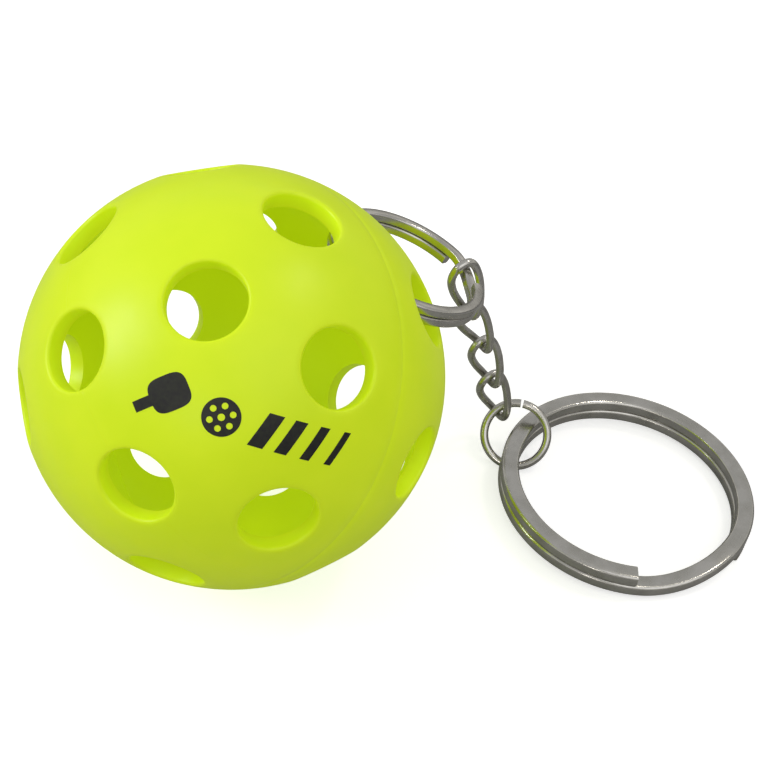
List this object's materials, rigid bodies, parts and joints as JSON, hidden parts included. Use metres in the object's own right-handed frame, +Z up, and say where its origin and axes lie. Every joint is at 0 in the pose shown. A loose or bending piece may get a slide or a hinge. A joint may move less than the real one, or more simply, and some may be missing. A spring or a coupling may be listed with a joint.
{
  "type": "miniature perforated ball on a key chain",
  "caption": "Hollow moulded ball with round holes, on a small split ring, a short twisted-link chain, a jump ring and a large split key ring.",
  "frame": {"origin": "the point where the ball rests on a flat surface, straight below the ball's centre", "axes": "+Z up; +X from the ball towards the key ring, with the object laid out at rest; +Y completes a right-handed frame"},
  "size_m": [0.0758, 0.0401, 0.04],
  "materials": {
    "ball_plastic": "moulded fluorescent yellow-green plastic, soft gloss",
    "nickel_plate": "bright nickel plating on steel wire",
    "printed_ink": "flat black pad-printed ink"
  },
  "bodies": {
    "ball": {"ball_half_front": "ball_plastic", "ball_half_back": "ball_plastic"},
    "small_ring": {"small_split_ring": "nickel_plate"},
    "link_1": {"chain_link_1": "nickel_plate"},
    "link_2": {"chain_link_2": "nickel_plate"},
    "link_3": {"chain_link_3": "nickel_plate"},
    "link_4": {"chain_link_4": "nickel_plate"},
    "jump_ring_body": {"jump_ring": "nickel_plate"},
    "key_ring_body": {"key_ring": "nickel_plate"}
  },
  "joints": [
    {"name": "small_ring_swing", "type": "hinge", "parent": "ball", "child": "small_ring", "pos_m": [0.01354, 0.00643, 0.02974], "axis": [0.4678, -0.8811, -0.0698], "range_deg": [0, 60]},
    {"name": "link_1_swing", "type": "hinge", "parent": "small_ring", "child": "link_1", "pos_m": [0.02173, 0.01082, 0.02604], "axis": [-0.4432, 0.8945, 0.0586], "range_deg": [-60, 30]},
    {"name": "link_2_swing", "type": "hinge", "parent": "link_1", "child": "link_2", "pos_m": [0.02282, 0.01146, 0.02047], "axis": [0.5463, -0.8375, 0.0114], "range_deg": [-35, 40]},
    {"name": "link_3_tilt", "type": "hinge", "parent": "link_2", "child": "link_3", "pos_m": [0.02476, 0.0126, 0.01602], "axis": [0.7963, 0.5066, 0.3307], "range_deg": [-35, 40]},
    {"name": "link_4_swing", "type": "hinge", "parent": "link_3", "child": "link_4", "pos_m": [0.02675, 0.01376, 0.00945], "axis": [0.5334, -0.8458, 0.0113], "range_deg": [-35, 40]},
    {"name": "jump_ring_swing", "type": "hinge", "parent": "link_4", "child": "jump_ring_body", "pos_m": [0.02845, 0.01476, 0.00384], "axis": [0.5334, -0.8458, 0.0113], "range_deg": [-40, 15]},
    {"name": "key_ring_flap", "type": "hinge", "parent": "jump_ring_body", "child": "key_ring_body", "pos_m": [0.03053, 0.01196, 0.00257], "axis": [-0.4423, -0.8969, 0.001], "range_deg": [-40, 45]}
  ]
}
